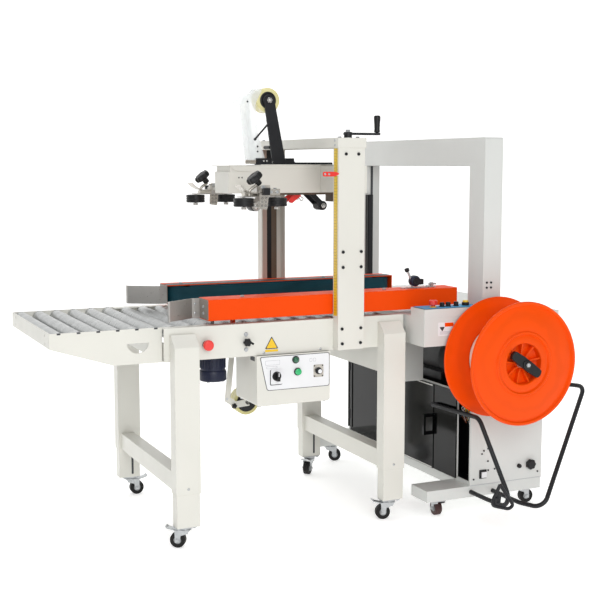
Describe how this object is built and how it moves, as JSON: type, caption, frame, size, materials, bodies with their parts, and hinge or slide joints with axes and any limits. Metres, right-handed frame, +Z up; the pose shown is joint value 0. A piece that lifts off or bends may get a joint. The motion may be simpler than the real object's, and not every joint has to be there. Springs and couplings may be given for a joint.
{
  "type": "carton sealing and strapping line",
  "caption": "Side-belt carton sealer with infeed roller table and height-adjustable tape head, docked to an arch strapping machine with a side-mounted strap reel.",
  "frame": {"origin": "centre of the footprint on the floor", "axes": "+X the way cartons travel, +Y away from the operator side, +Z up"},
  "size_m": [1.9162, 1.2648, 1.547],
  "materials": {
    "sealer_paint": "warm off-white powder coat, fine satin texture",
    "strapper_paint": "cool light grey powder coat, fine satin texture",
    "roller_steel": "zinc plated roller tube, satin",
    "orange_paint": "orange powder coat, semi-gloss",
    "orange_plastic": "moulded orange plastic, glossy",
    "strap_plastic": "wound polypropylene strap",
    "belt_rubber": "dark teal grip belt",
    "stainless": "brushed stainless steel",
    "black_steel": "black powder coat, semi-gloss",
    "zinc_steel": "zinc plated pressed steel",
    "black_plastic": "moulded black plastic",
    "navy_paint": "navy enamel, satin",
    "dark_door": "glossy near-black panel",
    "red_plastic": "moulded red plastic",
    "green_plastic": "moulded green plastic",
    "tape_film": "roll of adhesive tape on its core",
    "caster_tyre": "black rubber tread on a grey hub"
  },
  "bodies": {
    "machine": {"side_frames": "sealer_paint", "bed_cross_plates": "sealer_paint", "bed_rollers": "roller_steel", "leg_frames": "sealer_paint", "leg_tubes": "sealer_paint", "infeed_table_frame": "sealer_paint", "mast_columns": "sealer_paint", "mast_crosshead": "sealer_paint", "control_box": "sealer_paint", "strap_base": "strapper_paint", "strap_cabinet": "strapper_paint", "strap_table": "strapper_paint", "strap_arch": "strapper_paint", "control_console": "strapper_paint", "guard_tubes": "black_steel", "caster_forks": "zinc_steel"},
    "head": {"head_beam": "sealer_paint", "tape_arm": "black_steel", "tape_cartridge": "stainless"},
    "near_belt_unit": {"near_belt_cover": "orange_paint", "near_belt": "belt_rubber", "near_guide": "stainless", "belt_motor": "navy_paint"},
    "far_belt_unit": {"far_belt_cover": "orange_paint", "far_belt": "belt_rubber", "far_guide": "stainless"},
    "strap_reel": {"strap_reel": "orange_plastic", "strap_coil": "strap_plastic"},
    "infeed_roller_1": {"infeed_roller_1": "roller_steel"},
    "infeed_roller_2": {"infeed_roller_2": "roller_steel"},
    "infeed_roller_3": {"infeed_roller_3": "roller_steel"},
    "infeed_roller_4": {"infeed_roller_4": "roller_steel"},
    "infeed_roller_5": {"infeed_roller_5": "roller_steel"},
    "infeed_roller_6": {"infeed_roller_6": "roller_steel"},
    "near_press_carrier": {"near_press_carrier": "stainless"},
    "far_press_carrier": {"far_press_carrier": "stainless"},
    "front_roller_arm": {"front_roller_arm": "stainless"},
    "rear_roller_arm": {"rear_roller_arm": "stainless"},
    "lift_crank": {"lift_crank": "black_steel"},
    "width_screw": {"width_screw": "zinc_steel"},
    "crank_grip": {"crank_grip": "black_plastic"},
    "main_switch": {"main_switch": "black_plastic"},
    "near_press_wheel_1": {"near_press_wheel_1": "black_plastic"},
    "near_press_wheel_2": {"near_press_wheel_2": "black_plastic"},
    "far_press_wheel_1": {"far_press_wheel_1": "black_plastic"},
    "far_press_wheel_2": {"far_press_wheel_2": "black_plastic"},
    "cabinet_door": {"cabinet_door": "dark_door"},
    "stop_button": {"stop_button": "red_plastic"},
    "console_stop": {"console_stop": "red_plastic"},
    "start_button": {"start_button": "green_plastic"},
    "top_tape_roll": {"top_tape_roll": "tape_film"},
    "lower_tape_roll": {"lower_tape_roll": "tape_film"},
    "caster_wheel_1": {"caster_wheel_1": "caster_tyre"},
    "caster_wheel_2": {"caster_wheel_2": "caster_tyre"},
    "caster_wheel_3": {"caster_wheel_3": "caster_tyre"},
    "caster_wheel_4": {"caster_wheel_4": "caster_tyre"},
    "caster_wheel_5": {"caster_wheel_5": "caster_tyre"},
    "caster_wheel_6": {"caster_wheel_6": "caster_tyre"},
    "caster_wheel_7": {"caster_wheel_7": "caster_tyre"},
    "caster_wheel_8": {"caster_wheel_8": "caster_tyre"}
  },
  "joints": [
    {"name": "infeed_roller_1_spin", "type": "hinge", "parent": "machine", "child": "infeed_roller_1", "pos_m": [-0.92706, 0.06644, 0.716], "axis": [0, 1, 0], "continuous": true},
    {"name": "infeed_roller_2_spin", "type": "hinge", "parent": "machine", "child": "infeed_roller_2", "pos_m": [-0.86306, 0.06644, 0.716], "axis": [0, 1, 0], "continuous": true},
    {"name": "infeed_roller_3_spin", "type": "hinge", "parent": "machine", "child": "infeed_roller_3", "pos_m": [-0.79906, 0.06644, 0.716], "axis": [0, 1, 0], "continuous": true},
    {"name": "infeed_roller_4_spin", "type": "hinge", "parent": "machine", "child": "infeed_roller_4", "pos_m": [-0.73506, 0.06644, 0.716], "axis": [0, 1, 0], "continuous": true},
    {"name": "infeed_roller_5_spin", "type": "hinge", "parent": "machine", "child": "infeed_roller_5", "pos_m": [-0.67106, 0.06644, 0.716], "axis": [0, 1, 0], "continuous": true},
    {"name": "infeed_roller_6_spin", "type": "hinge", "parent": "machine", "child": "infeed_roller_6", "pos_m": [-0.60706, 0.06644, 0.716], "axis": [0, 1, 0], "continuous": true},
    {"name": "head_lift", "type": "slide", "parent": "machine", "child": "head", "axis": [0, 0, 1], "range_m": [-0.27, 0.04]},
    {"name": "top_tape_spin", "type": "hinge", "parent": "head", "child": "top_tape_roll", "pos_m": [-0.08506, 0.06744, 1.502], "axis": [0, 1, 0], "continuous": true},
    {"name": "lower_tape_spin", "type": "hinge", "parent": "machine", "child": "lower_tape_roll", "pos_m": [-0.17806, 0.06744, 0.407], "axis": [0, 1, 0], "continuous": true},
    {"name": "front_arm_swing", "type": "hinge", "parent": "head", "child": "front_roller_arm", "pos_m": [-0.07606, 0.06744, 1.177], "axis": [0, 1, 0], "range_deg": [0, 22], "stiffness_Nm_per_rad": 2, "springref_deg": -14.32},
    {"name": "rear_arm_swing", "type": "hinge", "parent": "head", "child": "rear_roller_arm", "pos_m": [0.07194, 0.06744, 1.177], "axis": [0, 1, 0], "range_deg": [-22, 0]},
    {"name": "near_press_slide", "type": "slide", "parent": "head", "child": "near_press_carrier", "axis": [0, 1, 0], "range_m": [-0.03, 0.12]},
    {"name": "far_press_slide", "type": "slide", "parent": "head", "child": "far_press_carrier", "axis": [0, 1, 0], "range_m": [-0.12, 0.03]},
    {"name": "near_press_wheel_1_spin", "type": "hinge", "parent": "near_press_carrier", "child": "near_press_wheel_1", "pos_m": [-0.27206, -0.17756, 1.146], "axis": [0, 0, 1], "continuous": true},
    {"name": "near_press_wheel_2_spin", "type": "hinge", "parent": "near_press_carrier", "child": "near_press_wheel_2", "pos_m": [-0.14906, -0.17756, 1.146], "axis": [0, 0, 1], "continuous": true},
    {"name": "far_press_wheel_1_spin", "type": "hinge", "parent": "far_press_carrier", "child": "far_press_wheel_1", "pos_m": [-0.27206, 0.31244, 1.146], "axis": [0, 0, 1], "continuous": true},
    {"name": "far_press_wheel_2_spin", "type": "hinge", "parent": "far_press_carrier", "child": "far_press_wheel_2", "pos_m": [-0.14906, 0.31244, 1.146], "axis": [0, 0, 1], "continuous": true},
    {"name": "lift_crank_turn", "type": "hinge", "parent": "machine", "child": "lift_crank", "pos_m": [0.07594, -0.27156, 1.373], "axis": [0, 0, 1], "range_deg": [-1445, 9725]},
    {"name": "crank_grip_spin", "type": "hinge", "parent": "lift_crank", "child": "crank_grip", "pos_m": [0.18894, -0.27156, 1.409], "axis": [0, 0, 1], "continuous": true},
    {"name": "near_belt_slide", "type": "slide", "parent": "machine", "child": "near_belt_unit", "axis": [0, 1, 0], "range_m": [-0.004, 0.14]},
    {"name": "far_belt_slide", "type": "slide", "parent": "machine", "child": "far_belt_unit", "axis": [0, 1, 0], "range_m": [-0.14, 0.004]},
    {"name": "width_screw_turn", "type": "hinge", "parent": "machine", "child": "width_screw", "pos_m": [-0.29706, 0.06644, 0.677], "axis": [0, 1, 0], "range_deg": [-150, 5050]},
    {"name": "start_button_press", "type": "slide", "parent": "machine", "child": "start_button", "axis": [0, 1, 0], "range_m": [0, 0.004], "stiffness_N_per_m": 400, "springref_m": -0.002},
    {"name": "stop_button_press", "type": "slide", "parent": "machine", "child": "stop_button", "axis": [0, 1, 0], "range_m": [0, 0.005], "stiffness_N_per_m": 500, "springref_m": -0.002},
    {"name": "console_stop_press", "type": "slide", "parent": "machine", "child": "console_stop", "axis": [0, 0, -1], "range_m": [0, 0.005], "stiffness_N_per_m": 500, "springref_m": -0.002},
    {"name": "main_switch_turn", "type": "hinge", "parent": "machine", "child": "main_switch", "pos_m": [-0.19106, -0.27356, 0.554], "axis": [0, 1, 0], "range_deg": [0, 90]},
    {"name": "strap_reel_spin", "type": "hinge", "parent": "machine", "child": "strap_reel", "pos_m": [0.60794, -0.49056, 0.587], "axis": [0, 1, 0], "continuous": true},
    {"name": "cabinet_door_swing", "type": "hinge", "parent": "machine", "child": "cabinet_door", "pos_m": [0.50694, 0.55444, 0.285], "axis": [0, 0, 1], "range_deg": [-15, 0]},
    {"name": "caster_wheel_1_spin", "type": "hinge", "parent": "machine", "child": "caster_wheel_1", "pos_m": [-0.54841, -0.26084, 0.0265], "axis": [-0.5299, -0.848, 0], "continuous": true},
    {"name": "caster_wheel_2_spin", "type": "hinge", "parent": "machine", "child": "caster_wheel_2", "pos_m": [0.22376, -0.26935, 0.0265], "axis": [-0.2588, -0.9659, 0], "continuous": true},
    {"name": "caster_wheel_3_spin", "type": "hinge", "parent": "machine", "child": "caster_wheel_3", "pos_m": [-0.49209, 0.41218, 0.0265], "axis": [0.0523, 0.9986, 0], "continuous": true},
    {"name": "caster_wheel_4_spin", "type": "hinge", "parent": "machine", "child": "caster_wheel_4", "pos_m": [0.23297, 0.39147, 0.0265], "axis": [0.7071, -0.7071, 0], "continuous": true},
    {"name": "caster_wheel_5_spin", "type": "hinge", "parent": "machine", "child": "caster_wheel_5", "pos_m": [0.42478, -0.30957, 0.0265], "axis": [-0.9994, 0.0349, 0], "continuous": true},
    {"name": "caster_wheel_6_spin", "type": "hinge", "parent": "machine", "child": "caster_wheel_6", "pos_m": [0.81758, -0.30973, 0.0265], "axis": [0.1736, 0.9848, 0], "continuous": true},
    {"name": "caster_wheel_7_spin", "type": "hinge", "parent": "machine", "child": "caster_wheel_7", "pos_m": [0.43369, 0.5463, 0.0265], "axis": [0.4226, 0.9063, 0], "continuous": true},
    {"name": "caster_wheel_8_spin", "type": "hinge", "parent": "machine", "child": "caster_wheel_8", "pos_m": [0.81649, 0.57965, 0.0265], "axis": [-0.342, 0.9397, 0], "continuous": true}
  ],
  "couplings": [
    {"joint": "lift_crank_turn", "follows": "head_lift", "rad_per_m": -628.32},
    {"joint": "far_belt_slide", "follows": "near_belt_slide", "ratio": -1},
    {"joint": "width_screw_turn", "follows": "near_belt_slide", "rad_per_m": 628.32},
    {"joint": "rear_arm_swing", "follows": "front_arm_swing", "ratio": -1}
  ]
}
